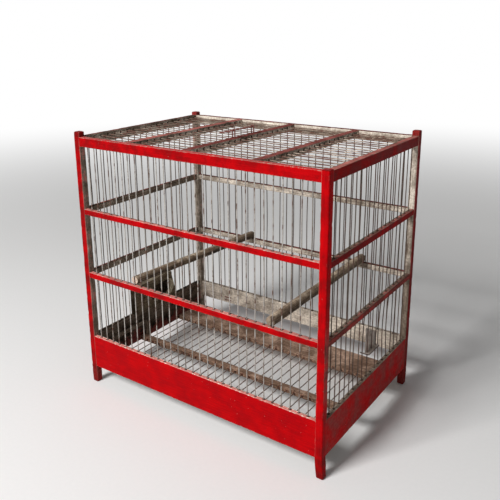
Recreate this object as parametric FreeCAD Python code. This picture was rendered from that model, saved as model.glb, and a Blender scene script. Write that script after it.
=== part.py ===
import FreeCAD, Part
import math
import os

Vector = FreeCAD.Vector
ALONG_X = Vector(1, 0, 0)
ALONG_Y = Vector(0, 1, 0)
ALONG_Z = Vector(0, 0, 1)

# A wooden bird cage: four posts, three rings of rails, base boards and wire bars.
# Sizes are millimetres. X runs along the front from the left face, Y from the
# front face to the back, Z up from the feet.

# Posts
cage_length = 450.0
cage_depth = 300.0
post_side = 10.0
post_height = 438.0
post_rise = 8.0
post_cap_chamfer = 1.2
foot_tip_side = 8.6
foot_taper_height = 18.0

# Rails between the posts
top_rail_height = 15.0
mid_rail_thickness = 8.0
mid_rail_height = 9.5
upper_rail_top = 313.0
lower_rail_top = 204.0
rail_edge_ease = 0.8

# Tenons at the ends of every rail and base board
tenon_setback = 2.0
tenon_thickness = 4.0
tenon_length = 3.5
tenon_shoulder = 1.5
mortise_play = 0.1

# Base boards and the slot for the tray at the back
board_thickness = 7.0
board_bottom = 31.0
board_top = 88.0
slot_rail_bottom = 56.0

# Wires
wire_diameter = 1.4
wire_setback = 4.0
wire_hole_play = 0.05
wire_side_count = 6
bend_step_count = 3
front_gap_count = 30
end_gap_count = 19

# Roof bars and the depth of the roof wires under the rails' tops
roof_bar_width = 12.0
roof_bar_height = 11.0
roof_bar_slant = 6.0
roof_wire_drop = 4.0
roof_bar_left_share = 0.242
roof_bar_center_share = 0.487
roof_bar_right_share = 0.756

# Floor: a wire grate over a rail, with a plank at the back
floor_wire_height = 36.0
floor_rail_front = 112.0
floor_rail_depth = 11.5
floor_rail_height = 8.0
plank_front = 217.5
plank_depth = 62.0
plank_thickness = 6.0
plank_wire_rise = 3.5

# Tray guides and the cleats that carry the floor rail
guide_bottom = 62.0
guide_height = 6.0
guide_thickness = 6.0
guide_front = 40.0
cleat_width = 10.0

# Perches, laid on the lower rails
perch_diameter = 14.0
perch_seat_gap = 0.3
perch_end_gap = 0.6
perch_left_front_share = 0.2435
perch_left_back_share = 0.3015
perch_right_front_share = 0.8122
perch_right_back_share = 0.8065
perch_notch_width = 3.2
perch_notch_reach = 3.0

# Feeder at the left end: an inside panel with a feed hole and a seed box outside
panel_front = 98.0
panel_back = 210.5
panel_height = 54.0
panel_setback = 2.0
panel_thickness = 11.5
panel_back_slope = 14.0
feed_hole_length = 61.0
feed_hole_height = 31.0
feed_hole_rise = 9.0
feed_hole_back_margin = 10.0
seed_box_reach = 26.0
seed_box_board = 4.0
seed_box_front = 135.0
seed_box_wall_height = 46.0
seed_box_outer_height = 30.0

# Lid of the seed box and the headless pins that it turns on
lid_side_gap = 0.5
lid_thickness = 4.0
lid_seat_gap = 0.4
pin_radius = 0.9
pin_play = 0.08
pin_bite = 8.0
pin_proud = 0.5

# Sliding tin gate at the right end
gate_wire_count = 10
gate_hole_height = 37.0
gate_sheet_thickness = 0.6
gate_wire_gap = 0.8
gate_side_overlap = 3.5
gate_tall_side = 42.0
gate_short_side = 21.0
gate_lip_reach = 6.0
gate_lip_round = 3.0
gate_ear_width = 3.0
gate_ear_reach = 6.5
gate_bend_radius = 0.5
gate_guide_play = 0.6

# Hanging bail and its two eyes on the center bar
eye_wire_diameter = 1.6
eye_half_width = 2.3
eye_crown_radius = 2.1
eye_pivot_rise = 11.0
eye_seat_depth = 5.0
eye_span = 51.0
bail_wire_diameter = 2.0
bail_reach = 52.0
bail_drop = 12.3
bail_stub = 4.0
bail_inner_run = 4.0
bail_bend_radius = 2.5
bail_tip_radius = 4.0

overrun = 1.0

# Places worked out from the sizes above
left_inside = post_side
right_inside = cage_length - post_side
front_inside = post_side
back_inside = cage_depth - post_side
top_rail_thickness = post_side
top_rail_top = post_height - post_rise
top_rail_bottom = top_rail_top - top_rail_height
upper_rail_bottom = upper_rail_top - mid_rail_height
lower_rail_bottom = lower_rail_top - mid_rail_height
wire_radius = wire_diameter / 2
roof_wire_height = top_rail_top - roof_wire_drop
roof_bar_bottom = top_rail_top - roof_bar_height
floor_rail_bottom = floor_wire_height - floor_rail_height / 2
floor_rail_back = floor_rail_front + floor_rail_depth
plank_bottom = floor_wire_height - plank_wire_rise
front_pitch = (right_inside - left_inside) / front_gap_count
end_pitch = (back_inside - front_inside) / end_gap_count
front_wire_places = [left_inside + front_pitch * (n + 1) for n in range(front_gap_count - 1)]
end_wire_places = [front_inside + end_pitch * (n + 1) for n in range(end_gap_count - 1)]
roof_wire_places = [front_inside + end_pitch * (n + 1 / 2) for n in range(end_gap_count)]
panel_top = board_top + panel_height
panel_outer = panel_setback
panel_inner = panel_outer + panel_thickness
seed_box_back = panel_back
gate_wire_place = end_wire_places[gate_wire_count - 1]
gate_hole_top = board_top + gate_hole_height


def block(x0, x1, y0, y1, z0, z1):
    """A box between two corners, given as pairs along X, Y and Z."""
    return Part.makeBox(x1 - x0, y1 - y0, z1 - z0, Vector(x0, y0, z0))


def rod(start, end, radius):
    """A round bar from one point to another."""
    run = end - start
    return Part.makeCylinder(radius, run.Length, start, run)


def prism(points, direction):
    """A solid with flat sides, from a closed outline pushed along a direction."""
    outline = Part.makePolygon(points + points[:1])
    return Part.Face(outline).extrude(direction)


def wire_outline(center, direction, radius):
    """The section of a wire: a few flat sides that hold the area of the round one."""
    upright = abs(direction.z) > abs(direction.x) + abs(direction.y)
    across = Vector(ALONG_X) if upright else ALONG_Z.cross(direction).normalize()
    over = direction.cross(across).normalize()
    step = 2 * math.pi / wire_side_count
    reach = radius * math.sqrt(2 * math.pi / (wire_side_count * math.sin(step)))
    corners = [center + (across * math.cos(n * step) + over * math.sin(n * step)) * reach
               for n in range(wire_side_count)]
    return Part.makePolygon(corners + corners[:1])


def wire_run(start, end, radius):
    """A straight wire, or the hole for one, from one point to another."""
    run = end - start
    return Part.Face(wire_outline(start, run, radius)).extrude(run)


def bend_points(before, corner, after, radius):
    """Points along the arc that rounds one corner of a wire's path."""
    arriving = (corner - before).normalize()
    leaving = (after - corner).normalize()
    turn = arriving.getAngle(leaving)
    arc_start = corner - arriving * (radius * math.tan(turn / 2))
    inward = (leaving - arriving).normalize()
    center = corner + inward * (radius / math.cos(turn / 2))
    axis = arriving.cross(leaving)
    turns = [math.degrees(turn) * n / bend_step_count for n in range(bend_step_count + 1)]
    return [center + FreeCAD.Rotation(axis, angle).multVec(arc_start - center) for angle in turns]


def bent_wire(points, radii, radius):
    """A wire bent at every inner point of its path, mitred from facet to facet."""
    path = points[:1]
    for before, corner, after, bend in zip(points, points[1:], points[2:], radii):
        path += bend_points(before, corner, after, bend)
    path += points[-1:]
    section = wire_outline(path[0], path[1] - path[0], radius)
    return Part.makePolygon(path).makePipeShell([section], True, False, 1)


# Joinery

def rail_ends(side, z0, z1, play):
    """The two tenons of a rail on one side of the cage, grown by the play."""
    low = z0 + tenon_shoulder - play
    high = z1 - tenon_shoulder + play
    near = tenon_setback - play
    far = tenon_setback + tenon_thickness + play
    depth = tenon_length + play
    ends = []
    if side in ("front", "back"):
        lines = (near, far) if side == "front" else (cage_depth - far, cage_depth - near)
        ends.append(block(left_inside - depth, left_inside, *lines, low, high))
        ends.append(block(right_inside, right_inside + depth, *lines, low, high))
    else:
        lines = (near, far) if side == "left" else (cage_length - far, cage_length - near)
        ends.append(block(*lines, front_inside - depth, front_inside, low, high))
        ends.append(block(*lines, back_inside, back_inside + depth, low, high))
    return ends


def rail(side, thickness, z0, z1):
    """A bar between two posts, flush with their outer faces, with its tenons."""
    if side in ("front", "back"):
        y0 = 0 if side == "front" else cage_depth - thickness
        bar = block(left_inside, right_inside, y0, y0 + thickness, z0, z1)
    else:
        x0 = 0 if side == "left" else cage_length - thickness
        bar = block(x0, x0 + thickness, front_inside, back_inside, z0, z1)
    bar = ease_top_edges(bar, side, z1)
    return bar.fuse(rail_ends(side, z0, z1, 0)).removeSplitter()


def ease_top_edges(bar, side, z1):
    """Eases the rail's two top edges along its length."""
    lengthwise = ALONG_X if side in ("front", "back") else ALONG_Y
    edges = []
    for edge in bar.Edges:
        first, last = (vertex.Point for vertex in edge.Vertexes)
        along = abs((last - first).normalize().dot(lengthwise)) > 1 / 2
        if along and abs(first.z - z1) < rail_edge_ease / 2:
            edges.append(edge)
    return bar.makeChamfer(rail_edge_ease, edges)


def wire_line(side, place):
    """The X and Y of one upright wire of a wall."""
    if side == "front":
        return place, wire_setback
    if side == "back":
        return place, cage_depth - wire_setback
    if side == "left":
        return wire_setback, place
    return cage_length - wire_setback, place


def wire_places(side):
    """Where the upright wires of a wall stand along it."""
    return front_wire_places if side in ("front", "back") else end_wire_places


def upright(side, place, z0, z1, radius):
    """A wire, or the hole for one, standing in a wall."""
    x, y = wire_line(side, place)
    return wire_run(Vector(x, y, z0), Vector(x, y, z1), radius)


def drilled(shape, side, z0, z1):
    """A middle rail with a hole for each wire that passes through it."""
    radius = wire_radius + wire_hole_play
    return shape.cut([upright(side, place, z0 - overrun, z1 + overrun, radius)
                      for place in wire_places(side)])


def behind_panel(side, place):
    """True for the left wall's wires that end on the feeder's panel."""
    return side == "left" and panel_front < place < panel_back


def at_gate(side, place):
    """True for the one wire that is cut above the gate's hole."""
    return side == "right" and abs(place - gate_wire_place) < wire_diameter


# Posts

def level_list():
    """Every rail and board: side, thickness, bottom and top, by node name."""
    levels = {}
    for side in ("front", "left", "right", "back"):
        levels[side + "_top_rail"] = (side, top_rail_thickness, top_rail_bottom, top_rail_top)
        levels[side + "_upper_rail"] = (side, mid_rail_thickness, upper_rail_bottom, upper_rail_top)
        levels[side + "_lower_rail"] = (side, mid_rail_thickness, lower_rail_bottom, lower_rail_top)
    for side in ("front", "left", "right"):
        levels[side + "_base_board"] = (side, board_thickness, board_bottom, board_top)
    levels["back_slot_rail"] = ("back", board_thickness, slot_rail_bottom, board_top)
    return levels


def square(center_x, center_y, side, z):
    """A square outline lying flat."""
    half = side / 2
    corners = [Vector(center_x + sx * half, center_y + sy * half, z)
               for sx, sy in ((-1, -1), (1, -1), (1, 1), (-1, 1))]
    return Part.makePolygon(corners + corners[:1])


def post(x0, y0):
    """A square post with a whittled foot and an eased top."""
    x = x0 + post_side / 2
    y = y0 + post_side / 2
    sections = [square(x, y, foot_tip_side, 0),
                square(x, y, post_side, foot_taper_height),
                square(x, y, post_side, post_height - post_cap_chamfer),
                square(x, y, post_side - 2 * post_cap_chamfer, post_height)]
    return Part.makeLoft(sections, True, True)


def posts():
    """The four posts, mortised for every rail end that meets them."""
    mortises = []
    for side, thickness, z0, z1 in level_list().values():
        mortises += rail_ends(side, z0, z1, mortise_play)
    shapes = {}
    for depth_name, y0 in (("front", 0), ("back", back_inside)):
        for side_name, x0 in (("left", 0), ("right", right_inside)):
            shapes["post_" + depth_name + "_" + side_name] = post(x0, y0).cut(mortises)
    return shapes


# Rails and boards with their wire holes

def rails_and_boards():
    """All rails and base boards, the middle rails drilled for the wires."""
    shapes = {}
    for name, (side, thickness, z0, z1) in level_list().items():
        bar = rail(side, thickness, z0, z1)
        if name.endswith(("_upper_rail", "_lower_rail")):
            bar = drilled(bar, side, z0, z1)
        shapes[name] = bar
    return shapes


# Wires

def wall_wires(side):
    """The upright wires of one wall, each a solid of its own."""
    wires = []
    for place in wire_places(side):
        bottom = gate_hole_top if at_gate(side, place) else board_top
        wire = upright(side, place, bottom, top_rail_bottom, wire_radius)
        if behind_panel(side, place):
            wire = wire.cut(panel_board())
        wires.append(wire)
    return Part.makeCompound(wires)


def roof_run(y, x0, x1, radius):
    """A wire along the roof, or the hole for one."""
    return wire_run(Vector(x0, y, roof_wire_height), Vector(x1, y, roof_wire_height), radius)


def floor_run(x, y0, y1, radius):
    """A wire of the floor grate, or the hole for one."""
    return wire_run(Vector(x, y0, floor_wire_height), Vector(x, y1, floor_wire_height), radius)


def roof_wires():
    """The wires along the roof, through the three bars."""
    return Part.makeCompound([roof_run(y, left_inside, right_inside, wire_radius)
                              for y in roof_wire_places])


def floor_wires():
    """The floor grate, from the front board through the floor rail to the plank."""
    return Part.makeCompound([floor_run(x, board_thickness, plank_front, wire_radius)
                              for x in front_wire_places])


# Roof bars

def roof_bar(place_share):
    """A bar from the front to the back top rail, a little askew, drilled for the wires."""
    middle = cage_length * place_share
    front_x = middle - roof_bar_slant / 2
    back_x = middle + roof_bar_slant / 2
    half = roof_bar_width / 2
    outline = [Vector(front_x - half, front_inside, roof_bar_bottom),
               Vector(front_x + half, front_inside, roof_bar_bottom),
               Vector(back_x + half, back_inside, roof_bar_bottom),
               Vector(back_x - half, back_inside, roof_bar_bottom)]
    bar = prism(outline, ALONG_Z * roof_bar_height)
    reach = half + roof_bar_slant
    holes = [roof_run(y, middle - reach, middle + reach, wire_radius + wire_hole_play)
             for y in roof_wire_places]
    return bar.cut(holes)


def roof_bars():
    """The three bars; the center one takes the feet of the two eyes."""
    return {"roof_bar_left": roof_bar(roof_bar_left_share),
            "roof_bar_center": roof_bar(roof_bar_center_share).cut(eye_leg_holes()),
            "roof_bar_right": roof_bar(roof_bar_right_share)}


# Floor

def floor_pieces():
    """The floor rail with its holes, the plank, the tray guides and the cleats."""
    left = board_thickness
    right = cage_length - board_thickness
    holes = [floor_run(x, floor_rail_front - overrun, floor_rail_back + overrun,
                       wire_radius + wire_hole_play) for x in front_wire_places]
    beam = block(left, right, floor_rail_front, floor_rail_back,
                 floor_rail_bottom, floor_rail_bottom + floor_rail_height)
    plank = block(left, right, plank_front, plank_front + plank_depth,
                  plank_bottom, plank_bottom + plank_thickness)
    shapes = {"floor_rail": beam.cut(holes), "floor_plank": plank}
    guide_top = guide_bottom + guide_height
    for name, x0 in (("left", left), ("right", right - guide_thickness)):
        x1 = x0 + guide_thickness
        shapes[name + "_tray_guide"] = block(x0, x1, guide_front, floor_rail_back,
                                             guide_bottom, guide_top)
        shapes[name + "_floor_cleat"] = block(x0, x1, floor_rail_back,
                                              floor_rail_back + cleat_width,
                                              board_bottom, guide_top)
    return shapes


# Perches

def perch(front_share, back_share, notched):
    """A round perch from the front lower rail to the back one, its ends cut to the walls."""
    radius = perch_diameter / 2
    height = lower_rail_top + perch_seat_gap + radius
    front = Vector(cage_length * front_share, 0, height)
    back = Vector(cage_length * back_share, cage_depth, height)
    end = wire_setback + wire_radius + perch_end_gap
    front_end = end - perch_notch_reach if notched else end
    bar = rod(front, back, radius)
    bar = bar.common(block(0, cage_length, front_end, cage_depth - end,
                           height - perch_diameter, height + perch_diameter))
    if notched:
        bar = bar.cut(perch_notch(front.x, height, front_end, end))
    return bar


def perch_notch(x, height, front_end, end):
    """The slot in a perch's end that straddles the nearest front wire."""
    place = min(front_wire_places, key=lambda wire_x: abs(wire_x - x))
    half = perch_notch_width / 2
    return block(place - half, place + half, front_end - overrun, end,
                 height - perch_diameter, height + perch_diameter)


# Feeder

def feed_hole(y0, y1, z0, z1, x0, x1):
    """A long hole with half-round ends, cut through the panel along X."""
    radius = (z1 - z0) / 2
    middle = z0 + radius
    near = rod(Vector(x0, y0 + radius, middle), Vector(x1, y0 + radius, middle), radius)
    far = rod(Vector(x0, y1 - radius, middle), Vector(x1, y1 - radius, middle), radius)
    return near.fuse([far, block(x0, x1, y0 + radius, y1 - radius, z0, z1)]).removeSplitter()


def panel_board():
    """The feeder's panel before its hole is cut: its far edge slopes in to the top."""
    outline = [Vector(panel_outer, panel_front, board_top),
               Vector(panel_outer, panel_back, board_top),
               Vector(panel_outer, panel_back - panel_back_slope, panel_top),
               Vector(panel_outer, panel_front, panel_top)]
    return prism(outline, Vector(panel_thickness, 0, 0))


def feeder_panel():
    """The board on the left base board, with the feed hole into the seed box."""
    hole_back = panel_back - feed_hole_back_margin
    hole_bottom = board_top + feed_hole_rise
    return panel_board().cut(feed_hole(hole_back - feed_hole_length, hole_back, hole_bottom,
                                       hole_bottom + feed_hole_height,
                                       panel_outer - overrun, panel_inner + overrun))


def lid_slope():
    """The fall of the seed box's lid for each millimetre outwards."""
    return (seed_box_wall_height - seed_box_outer_height) / seed_box_reach


def lid_pivot():
    """The X and Z of the pins, in the lid's middle near the cage."""
    x = -lid_thickness
    top = board_top + seed_box_wall_height + x * lid_slope()
    return x, top - lid_thickness / 2


def seed_box_cheek(y0):
    """One end board of the seed box, sloped along its top, with a hole for the pin."""
    outer_top = board_top + seed_box_outer_height
    outline = [Vector(panel_outer, y0, board_top + seed_box_board),
               Vector(panel_outer, y0, board_top + seed_box_wall_height),
               Vector(0, y0, board_top + seed_box_wall_height),
               Vector(-seed_box_reach, y0, outer_top),
               Vector(-seed_box_reach, y0, board_top + seed_box_board)]
    cheek = prism(outline, ALONG_Y * seed_box_board)
    x, z = lid_pivot()
    return cheek.cut(rod(Vector(x, y0 - overrun, z),
                         Vector(x, y0 + seed_box_board + overrun, z), pin_radius + pin_play))


def seed_box():
    """The four fixed boards of the box outside the left wall."""
    inner_front = seed_box_front + seed_box_board
    inner_back = seed_box_back - seed_box_board
    bottom_top = board_top + seed_box_board
    slope = lid_slope()
    top_at_face = board_top + seed_box_wall_height - lid_rise() - lid_seat_gap
    outer_x = -seed_box_reach
    inner_x = outer_x + seed_box_board
    outline = [Vector(outer_x, inner_front, bottom_top),
               Vector(inner_x, inner_front, bottom_top),
               Vector(inner_x, inner_front, top_at_face + inner_x * slope),
               Vector(outer_x, inner_front, top_at_face + outer_x * slope)]
    return {
        "feeder_bottom": block(outer_x, panel_outer, seed_box_front, seed_box_back,
                               board_top, bottom_top),
        "feeder_near_cheek": seed_box_cheek(seed_box_front),
        "feeder_far_cheek": seed_box_cheek(inner_back),
        "feeder_outer_board": prism(outline, ALONG_Y * (inner_back - inner_front)),
    }


def lid_rise():
    """The lid's thickness measured straight up through its slope."""
    return lid_thickness * math.hypot(1, lid_slope())


def feeder_lid():
    """The sloping lid between the cheeks, bored at both ends for its pins."""
    slope = lid_slope()
    rise = lid_rise()
    top_at_face = board_top + seed_box_wall_height
    y0 = seed_box_front + seed_box_board + lid_side_gap
    y1 = seed_box_back - seed_box_board - lid_side_gap
    inner_x = -lid_thickness / 2
    outer_x = -seed_box_reach
    outline = [Vector(inner_x, y0, top_at_face + inner_x * slope),
               Vector(outer_x, y0, top_at_face + outer_x * slope),
               Vector(outer_x, y0, top_at_face + outer_x * slope - rise),
               Vector(inner_x, y0, top_at_face + inner_x * slope - rise)]
    lid = prism(outline, ALONG_Y * (y1 - y0))
    x, z = lid_pivot()
    bores = [rod(Vector(x, y0 - overrun, z), Vector(x, y0 + pin_bite, z), pin_radius),
             rod(Vector(x, y1 - pin_bite, z), Vector(x, y1 + overrun, z), pin_radius)]
    return lid.cut(bores)


def lid_pins():
    """The two pins: driven into the lid's ends and free to turn in the cheeks."""
    x, z = lid_pivot()
    length = seed_box_board + lid_side_gap + pin_bite
    return Part.makeCompound([rod(Vector(x, face - inward * pin_proud, z),
                                  Vector(x, face + inward * length, z), pin_radius)
                              for face, inward in ((seed_box_front, 1), (seed_box_back, -1))])


# Gate

def gate_plate():
    """A bent tin plate behind the wires: the wires pass through its lip, and an ear moves it."""
    wire_x = cage_length - wire_setback
    back_x = wire_x - wire_radius - gate_wire_gap - gate_sheet_thickness
    front_x = back_x + gate_sheet_thickness
    tip_x = wire_x + gate_lip_reach
    low = gate_hole_top + wire_diameter
    lip_top = low + gate_sheet_thickness
    y0 = gate_wire_place - end_pitch - gate_side_overlap
    y1 = gate_wire_place + end_pitch + gate_side_overlap
    tall = low + gate_tall_side
    short = low + gate_short_side
    sheet = prism([Vector(back_x, y0, low), Vector(back_x, y1, low),
                   Vector(back_x, y1, short), Vector(back_x, y0, tall)],
                  Vector(gate_sheet_thickness, 0, 0))
    lip = block(back_x, tip_x, y0 - gate_ear_width, y1, low, lip_top)
    corners = [edge for edge in lip.Edges
               if all(abs(vertex.X - tip_x) < gate_sheet_thickness for vertex in edge.Vertexes)
               and abs(edge.tangentAt(edge.FirstParameter).z) > 1 / 2]
    lip = lip.makeFillet(gate_lip_round, corners)
    ear = block(back_x - gate_ear_reach, front_x, y0 - gate_ear_width, y0, low, lip_top)
    plate = sheet.fuse([lip, ear]).removeSplitter()
    bend = [edge for edge in plate.Edges
            if all(abs(vertex.X - front_x) + abs(vertex.Z - lip_top) < gate_sheet_thickness / 4
                   for vertex in edge.Vertexes)]
    plate = plate.makeFillet(gate_bend_radius, bend)
    holes = [upright("right", gate_wire_place + n * end_pitch, low - overrun,
                     lip_top + overrun, wire_radius + gate_guide_play) for n in (-1, 0, 1)]
    return plate.cut(holes)


# Bail

def eye_places():
    """The Y of the two eyes, either side of the cage's middle."""
    middle = cage_depth / 2
    return middle - eye_span / 2, middle + eye_span / 2


def pivot_x():
    """The X of the bail's pivot line, over the center bar."""
    return cage_length * roof_bar_center_share


def eye_legs(y):
    """The feet of one eye's two legs, at the bar's top."""
    return [Vector(pivot_x() + side * eye_half_width, y, top_rail_top) for side in (-1, 1)]


def eye_leg_holes():
    """The seats in the center bar for the legs of both eyes."""
    depth = ALONG_Z * eye_seat_depth
    radius = eye_wire_diameter / 2 + wire_hole_play
    return [wire_run(foot - depth, foot + ALONG_Z * overrun, radius)
            for y in eye_places() for foot in eye_legs(y)]


def bail_eyes():
    """Two tall staples driven into the center bar."""
    down = ALONG_Z * -eye_seat_depth
    up = ALONG_Z * (eye_pivot_rise + eye_half_width)
    eyes = []
    for y in eye_places():
        near, far = eye_legs(y)
        points = [near + down, near + up, far + up, far + down]
        eyes.append(bent_wire(points, [eye_crown_radius] * 2, eye_wire_diameter / 2))
    return Part.makeCompound(eyes)


def hanging_bail():
    """The wire bail, laid over to the left with its tip just above the roof wires."""
    x = pivot_x()
    near, far = eye_places()
    height = top_rail_top + eye_pivot_rise
    tip = Vector(x - bail_reach, cage_depth / 2, height - bail_drop)
    points = [Vector(x, near - bail_stub, height),
              Vector(x, near + bail_inner_run, height),
              tip,
              Vector(x, far - bail_inner_run, height),
              Vector(x, far + bail_stub, height)]
    radii = [bail_bend_radius, bail_tip_radius, bail_bend_radius]
    return bent_wire(points, radii, bail_wire_diameter / 2)


def build_cage():
    """Every piece of the cage by node name."""
    shapes = {}
    shapes.update(posts())
    shapes.update(rails_and_boards())
    shapes.update(roof_bars())
    shapes.update(floor_pieces())
    for side in ("front", "back", "left", "right"):
        shapes[side + "_wires"] = wall_wires(side)
    shapes["roof_wires"] = roof_wires()
    shapes["floor_wires"] = floor_wires()
    shapes["perch_left"] = perch(perch_left_front_share, perch_left_back_share, False)
    shapes["perch_right"] = perch(perch_right_front_share, perch_right_back_share, True)
    shapes["feeder_panel"] = feeder_panel()
    shapes.update(seed_box())
    shapes["feeder_lid"] = feeder_lid()
    shapes["feeder_lid_pins"] = lid_pins()
    shapes["gate_plate"] = gate_plate()
    shapes["bail_eyes"] = bail_eyes()
    shapes["hanging_bail"] = hanging_bail()
    return shapes


def export(shapes):
    """Moves the origin to the middle of the footprint and writes one file per piece."""
    whole = Part.makeCompound(list(shapes.values())).BoundBox
    origin = Vector((whole.XMin + whole.XMax) / 2, (whole.YMin + whole.YMax) / 2, 0)
    os.makedirs("parts", exist_ok=True)
    for name, shape in shapes.items():
        placed = shape.copy()
        placed.translate(-origin)
        placed.exportStep("parts/" + name + ".step")
    print("origin", origin, "pieces", len(shapes))
    print("overall size", whole.XLength, whole.YLength, whole.ZLength)


export(build_cage())
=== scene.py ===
import cmath
import math
import random
from itertools import accumulate

import bpy
from mathutils import Matrix, Vector, noise
from mathutils.geometry import tessellate_polygon


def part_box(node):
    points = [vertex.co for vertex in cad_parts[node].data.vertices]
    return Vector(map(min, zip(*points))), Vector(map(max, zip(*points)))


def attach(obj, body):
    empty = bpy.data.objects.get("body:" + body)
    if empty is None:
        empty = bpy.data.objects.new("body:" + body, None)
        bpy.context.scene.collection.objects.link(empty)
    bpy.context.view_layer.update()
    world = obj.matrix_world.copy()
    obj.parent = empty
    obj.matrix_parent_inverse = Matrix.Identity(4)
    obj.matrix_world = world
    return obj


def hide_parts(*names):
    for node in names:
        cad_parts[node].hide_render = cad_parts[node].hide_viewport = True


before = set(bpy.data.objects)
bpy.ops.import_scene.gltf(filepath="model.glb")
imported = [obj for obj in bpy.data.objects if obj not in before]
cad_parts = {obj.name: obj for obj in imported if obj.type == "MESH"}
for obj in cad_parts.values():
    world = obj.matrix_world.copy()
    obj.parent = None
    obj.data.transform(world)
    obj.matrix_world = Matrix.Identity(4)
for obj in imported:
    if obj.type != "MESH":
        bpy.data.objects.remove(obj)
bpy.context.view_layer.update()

MM = 0.001
ALONG_X = Vector((1, 0, 0))
ALONG_Y = Vector((0, 1, 0))
ALONG_Z = Vector((0, 0, 1))

# Places read from the frame, in metres
cage_low, near_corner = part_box("post_front_left")
left_inside = near_corner.x
front_inside = near_corner.y
right_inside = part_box("post_front_right")[0].x
back_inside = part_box("post_back_left")[0].y
post_side = left_inside - cage_low.x
top_rail_bottom, top_rail_top = (corner.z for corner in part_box("front_top_rail"))
board_bottom, board_top = (corner.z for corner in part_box("front_base_board"))
front_gap_count = 30
end_gap_count = 19
front_pitch = (right_inside - left_inside) / front_gap_count
end_pitch = (back_inside - front_inside) / end_gap_count
front_wire_places = [left_inside + front_pitch * (n + 1) for n in range(front_gap_count - 1)]
end_wire_places = [front_inside + end_pitch * (n + 1) for n in range(end_gap_count - 1)]
roof_wire_places = [front_inside + end_pitch * (n + 1 / 2) for n in range(end_gap_count)]


def circle(count, first=0):
    """Cosine and sine of even steps round a circle."""
    angles = [2 * math.pi * (n + first) / count for n in range(count)]
    return [(math.cos(angle), math.sin(angle)) for angle in angles]


def box_middle(node):
    """The middle of a CAD node's box."""
    low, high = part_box(node)
    return (low + high) / 2


def node_points(node):
    """The places of a CAD node's vertices."""
    return [vertex.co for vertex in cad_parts[node].data.vertices]


def width_at(node, y, reach):
    """The least and the greatest X of a CAD node near a Y."""
    places = [point.x for point in node_points(node) if abs(point.y - y) < reach]
    return min(places), max(places)


# The walls: the way out, the axis each one runs along, its ends and its wires
outward = {"front": -ALONG_Y, "back": ALONG_Y, "left": -ALONG_X, "right": ALONG_X}
wall_axis = {"front": 0, "back": 0, "left": 1, "right": 1}
hidden_end = 0.3 * MM
wall_ends = ((left_inside - hidden_end, right_inside + hidden_end),
             (front_inside - hidden_end, back_inside + hidden_end))
wire_places = (front_wire_places, end_wire_places)
wire_lines = {side: box_middle(side + "_wires")[1 - axis] for side, axis in wall_axis.items()}
roof_wire_height = box_middle("roof_wires").z
floor_wire_height = box_middle("floor_wires").z
wire_radius = 0.8 * MM
gate_low, gate_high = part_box("gate_plate")
gate_middle = box_middle("gate_plate").y
gate_wire_place = min(end_wire_places, key=lambda place: abs(place - gate_middle))

# Camera, at the photograph's place and angle
camera_place = Vector((0.5823, -0.8129, 0.6016))
camera_turn = 0.617
camera_fall = 0.274
camera_roll = -0.009
camera_focal_pixels = 643.5
photo_pixels = 500
optical_axis_pixel = (243.65, 202.38)
sensor_width = 36.0


def add_object(name, data):
    """A new object in the scene."""
    thing = bpy.data.objects.new(name, data)
    bpy.context.scene.collection.objects.link(thing)
    return thing


def make_camera():
    """The camera, with the photograph's place, angle and framing."""
    camera = bpy.data.cameras.new("camera")
    camera.sensor_width = sensor_width
    camera.lens = camera_focal_pixels / photo_pixels * sensor_width
    camera.shift_x = 1 / 2 - optical_axis_pixel[0] / photo_pixels
    camera.shift_y = optical_axis_pixel[1] / photo_pixels - 1 / 2
    view = Matrix.Translation(camera_place)
    for angle, axis in ((camera_turn, "Z"), (math.pi / 2 - camera_fall, "X"), (camera_roll, "Z")):
        view = view @ Matrix.Rotation(angle, 4, axis)
    bpy.context.scene.camera = add_object("camera", camera)
    bpy.context.scene.camera.matrix_world = view


# Materials

noise_range = (0.3, 0.7)


class Value:
    """A number that a node gives. Sums with it make new nodes."""

    def __init__(self, shade, socket):
        self.shade = shade
        self.socket = socket

    def __add__(self, other):
        return self.shade.math("ADD", self, other)

    def __sub__(self, other):
        return self.shade.math("SUBTRACT", self, other)

    def __mul__(self, other):
        return self.shade.math("MULTIPLY", self, other)

    def __pow__(self, other):
        return self.shade.math("POWER", self, other)

    def span(self, low, high, to_low=0.0, to_high=1.0):
        """Smoothly from one number to the other while the value goes from low to high."""
        ends = {"From Min": low, "From Max": high, "To Min": to_low, "To Max": to_high}
        node = self.shade.node("MapRange", {"Value": self, **ends}, interpolation_type="SMOOTHSTEP")
        return Value(self.shade, node.outputs["Result"])

    def usual(self, to_low=0.0, to_high=1.0):
        """From one number to the other over the usual range of a noise."""
        return self.span(*noise_range, to_low, to_high)

    def mix(self, first, second):
        """The colour that lies this share of the way from one to the other."""
        return self.shade.mixed("MIX", self, first, second)


class Color(Value):
    """A colour that a node gives."""

    def __mul__(self, other):
        return self.shade.mixed("MULTIPLY", 1.0, self, other)


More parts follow.
